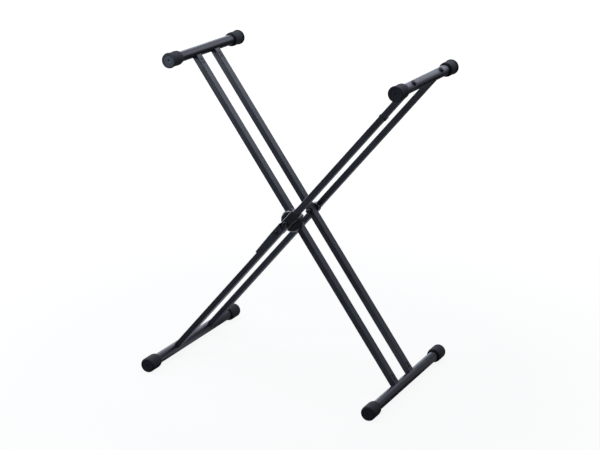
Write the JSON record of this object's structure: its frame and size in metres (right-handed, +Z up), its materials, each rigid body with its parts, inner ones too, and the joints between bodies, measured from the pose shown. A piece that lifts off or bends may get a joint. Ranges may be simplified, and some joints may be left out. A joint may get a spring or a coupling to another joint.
{
  "type": "folding keyboard stand",
  "caption": "Double-braced X-shaped folding stand with padded bars at top and foot, crossing at one pivot with a notched height lock and release lever.",
  "frame": {"origin": "on the floor at the middle of the stand, straight under the pivot axis", "axes": "+Z up, +Y along the bars and the pivot axis, towards the far side in the picture, +X across the open X"},
  "size_m": [0.6576, 0.5135, 0.8353],
  "materials": {
    "tube_paint": "satin black powder coat",
    "bar_paint": "satin black powder coat, a little smoother",
    "lever_paint": "semi-gloss black coat on bent sheet steel",
    "arm_cap_rubber": "matte black moulded rubber",
    "foot_cap_rubber": "matte black moulded rubber, scuffed at the floor",
    "black_bolt": "black oxide steel",
    "black_washer": "moulded black nylon",
    "black_nylon": "moulded black nylon",
    "white_nylon": "natural nylon",
    "tie_nylon": "black nylon strap",
    "gloss_black": "glossy black moulded plastic",
    "zinc_steel": "zinc plated steel",
    "disc_steel": "hardened sheet steel",
    "spring_steel": "blued spring steel"
  },
  "bodies": {
    "inner_frame": {"inner_tube_near": "tube_paint", "inner_tube_far": "tube_paint", "inner_arm_bar": "bar_paint", "inner_foot_bar": "bar_paint", "inner_arm_cap_near": "arm_cap_rubber", "inner_arm_cap_far": "arm_cap_rubber", "inner_foot_cap_near": "foot_cap_rubber", "inner_foot_cap_far": "foot_cap_rubber", "inner_bar_stubs": "bar_paint", "inner_stub_screws": "black_bolt", "notched_disc": "disc_steel", "disc_rivets": "zinc_steel", "inner_pivot_sleeves": "zinc_steel"},
    "outer_frame": {"outer_tube_near": "tube_paint", "outer_tube_far": "tube_paint", "outer_arm_bar": "bar_paint", "outer_foot_bar": "bar_paint", "outer_arm_cap_near": "arm_cap_rubber", "outer_arm_cap_far": "arm_cap_rubber", "outer_foot_cap_near": "foot_cap_rubber", "outer_foot_cap_far": "foot_cap_rubber", "outer_bar_bolts": "black_bolt", "outer_saddle_washers": "black_washer", "outer_tube_plugs": "black_nylon", "outer_plug_nuts": "zinc_steel", "outer_pivot_sleeves": "zinc_steel", "pivot_bolts": "black_bolt", "pivot_nuts": "black_bolt", "pivot_steel_washers": "black_bolt", "pivot_nylon_washers": "white_nylon", "pivot_spacer": "gloss_black", "lock_cover": "gloss_black", "pivot_housing": "gloss_black", "lever_pin": "black_bolt", "lever_leaf_spring": "spring_steel", "leaf_spring_rivet": "zinc_steel", "cable_tie": "tie_nylon"},
    "trigger_lever": {"release_lever": "lever_paint", "lock_pawl": "disc_steel", "pawl_rivets": "zinc_steel"}
  },
  "joints": [
    {"name": "x_fold", "type": "hinge", "parent": "inner_frame", "child": "outer_frame", "pos_m": [0, 0, 0.41976], "axis": [0, 1, 0], "range_deg": [-70.5, 28]},
    {"name": "lever_trigger", "type": "hinge", "parent": "outer_frame", "child": "trigger_lever", "pos_m": [-0.02471, -0.0947, 0.39335], "axis": [0, 1, 0], "range_deg": [0, 10], "stiffness_Nm_per_rad": 0.4, "deforming": ["lever_leaf_spring"]}
  ]
}
